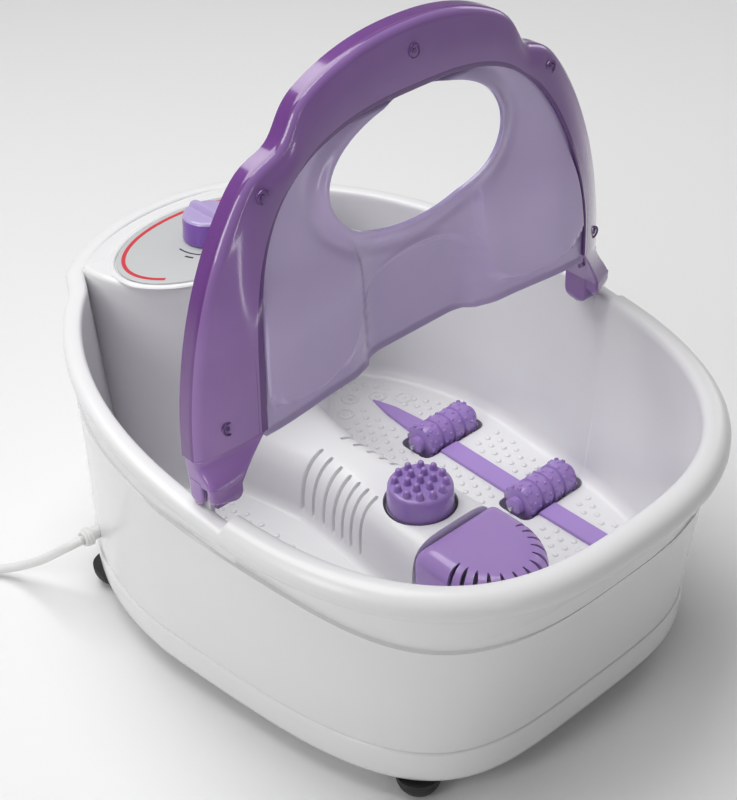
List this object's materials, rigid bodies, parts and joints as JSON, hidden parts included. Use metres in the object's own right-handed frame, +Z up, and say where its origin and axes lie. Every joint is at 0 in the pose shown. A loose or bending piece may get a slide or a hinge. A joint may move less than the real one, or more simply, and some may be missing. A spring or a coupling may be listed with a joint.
{
  "type": "foot spa basin",
  "caption": "Foot spa basin with a folding splash guard that is also its carrying handle, ribbed foot rollers, a nubbed massage head, a bubble cover and a turning control knob.",
  "frame": {"origin": "on the floor, under the middle of the basin's rim", "axes": "+Z up, -Y towards the heel end in front of the user, +Y towards the toe end with the control knob, +X to the user's right"},
  "size_m": [0.3561, 0.4254, 0.396],
  "materials": {
    "white_plastic": "gloss",
    "purple_plastic": "gloss",
    "clear_purple_plastic": "clear gloss",
    "clear_lavender_plastic": "clear gloss",
    "grey_label": "satin print",
    "black_rubber": "matt",
    "steel": "plain",
    "brass": "plain",
    "aluminium": "plain",
    "black_plastic": "matt",
    "circuit_board": "satin",
    "hose_rubber": "matt"
  },
  "bodies": {
    "base": {"tub": "white_plastic", "outer_housing": "white_plastic", "base_pan": "white_plastic", "power_cable": "white_plastic", "cable_strain_relief": "white_plastic", "rubber_foot_front_left": "black_rubber", "rubber_foot_front_right": "black_rubber", "rubber_foot_rear_left": "black_rubber", "rubber_foot_rear_right": "black_rubber", "base_screw_front_left": "steel", "base_screw_front_right": "steel", "base_screw_rear_left": "steel", "base_screw_rear_right": "steel", "control_label_plate": "grey_label", "roller_strip_left": "purple_plastic", "roller_strip_right": "purple_plastic", "roller_axle_rear_left": "steel", "roller_axle_rear_right": "steel", "roller_axle_front_left": "steel", "roller_axle_front_right": "steel", "rotary_switch": "black_plastic", "motor_mount": "black_plastic", "air_pump": "black_plastic", "thermal_cutout_left": "black_plastic", "thermal_cutout_right": "black_plastic", "control_board": "circuit_board", "head_post": "steel", "vibration_motor": "steel", "motor_clamp": "steel", "heater_plate_left": "aluminium", "heater_plate_right": "aluminium", "air_hose": "hose_rubber"},
    "guard": {"splash_panel": "clear_lavender_plastic", "handle_front_shell": "clear_purple_plastic", "handle_rear_shell": "clear_purple_plastic", "hinge_pin_left": "steel", "hinge_pin_right": "steel", "guard_screw_top": "steel", "guard_screw_upper_left": "steel", "guard_screw_upper_right": "steel", "guard_screw_lower_left": "steel", "guard_screw_lower_right": "steel"},
    "knob": {"control_knob": "purple_plastic", "switch_shaft": "brass"},
    "roller_rear_left": {"roller_rear_left": "purple_plastic"},
    "roller_rear_right": {"roller_rear_right": "purple_plastic"},
    "roller_front_left": {"roller_front_left": "purple_plastic"},
    "roller_front_right": {"roller_front_right": "purple_plastic"},
    "head": {"massage_head": "purple_plastic"},
    "cover": {"bubble_cover": "purple_plastic"},
    "rotor": {"motor_shaft": "steel", "eccentric_weight": "brass"}
  },
  "joints": [
    {"name": "guard_fold", "type": "hinge", "parent": "base", "child": "guard", "pos_m": [0, -0.036, 0.178], "axis": [-1, 0, 0], "range_deg": [0, 70]},
    {"name": "knob_turn", "type": "hinge", "parent": "base", "child": "knob", "pos_m": [0, 0.148, 0.1935], "axis": [0, 0, -1], "range_deg": [0, 270]},
    {"name": "roller_spin_rear_left", "type": "hinge", "parent": "base", "child": "roller_rear_left", "pos_m": [-0.098, 0.037, 0.0485], "axis": [1, 0, 0], "continuous": true},
    {"name": "roller_spin_rear_right", "type": "hinge", "parent": "base", "child": "roller_rear_right", "pos_m": [0.098, 0.037, 0.0485], "axis": [1, 0, 0], "continuous": true},
    {"name": "roller_spin_front_left", "type": "hinge", "parent": "base", "child": "roller_front_left", "pos_m": [-0.098, -0.053, 0.0485], "axis": [1, 0, 0], "continuous": true},
    {"name": "roller_spin_front_right", "type": "hinge", "parent": "base", "child": "roller_front_right", "pos_m": [0.098, -0.053, 0.0485], "axis": [1, 0, 0], "continuous": true},
    {"name": "head_lift", "type": "slide", "parent": "base", "child": "head", "axis": [0, 0, 1], "range_m": [0, 0.03]},
    {"name": "cover_lift", "type": "slide", "parent": "base", "child": "cover", "axis": [0, 0, 1], "range_m": [0, 0.03]},
    {"name": "motor_spin", "type": "hinge", "parent": "base", "child": "rotor", "pos_m": [0, 0.0385, 0.06], "axis": [0, 1, 0], "continuous": true}
  ]
}
